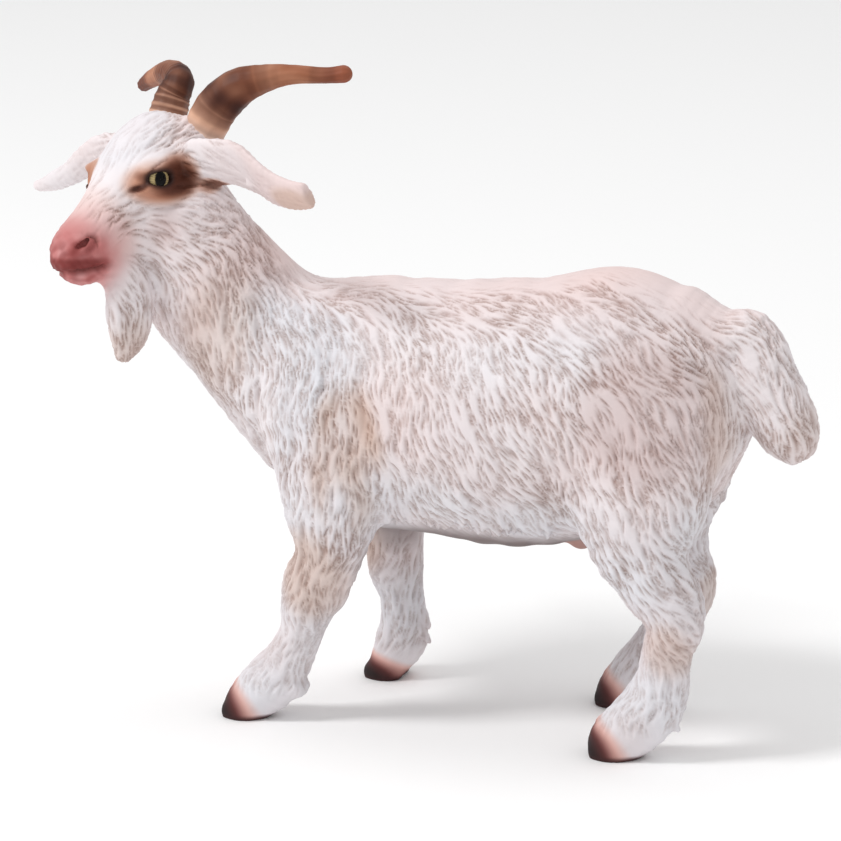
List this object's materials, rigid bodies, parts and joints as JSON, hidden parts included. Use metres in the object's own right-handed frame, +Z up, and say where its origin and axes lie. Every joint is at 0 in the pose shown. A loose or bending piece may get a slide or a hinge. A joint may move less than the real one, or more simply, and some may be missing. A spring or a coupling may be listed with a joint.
{
  "type": "toy billy goat figure",
  "caption": "Standing toy billy goat with sculpted white hair, swept-back horns, beard, drooping ears and raised tail, rests on its hooves.",
  "frame": {"origin": "on the ground plane, under the middle of the whole figure's bounding box", "axes": "+Z up, nose towards -X and tail towards +X, the goat's left side towards -Y"},
  "size_m": [0.1084, 0.0382, 0.0821],
  "materials": {
    "coat": "matt white moulding with a thin pink-beige wash in the grooves; muzzle, eye rims and hooves are painted on it",
    "horn": "matt tan-brown paint, darker in the middle",
    "eye": "gloss amber iris with a dark pupil"
  },
  "bodies": {
    "root": {"trunk_left_half": "coat", "trunk_right_half": "coat", "head_with_neck": "coat", "foreleg_left": "coat", "foreleg_right": "coat", "hindleg_left": "coat", "hindleg_right": "coat", "ear_left": "coat", "ear_right": "coat", "beard": "coat", "tail": "coat", "horn_left": "horn", "horn_right": "horn", "eye_left": "eye", "eye_right": "eye"}
  },
  "joints": []
}
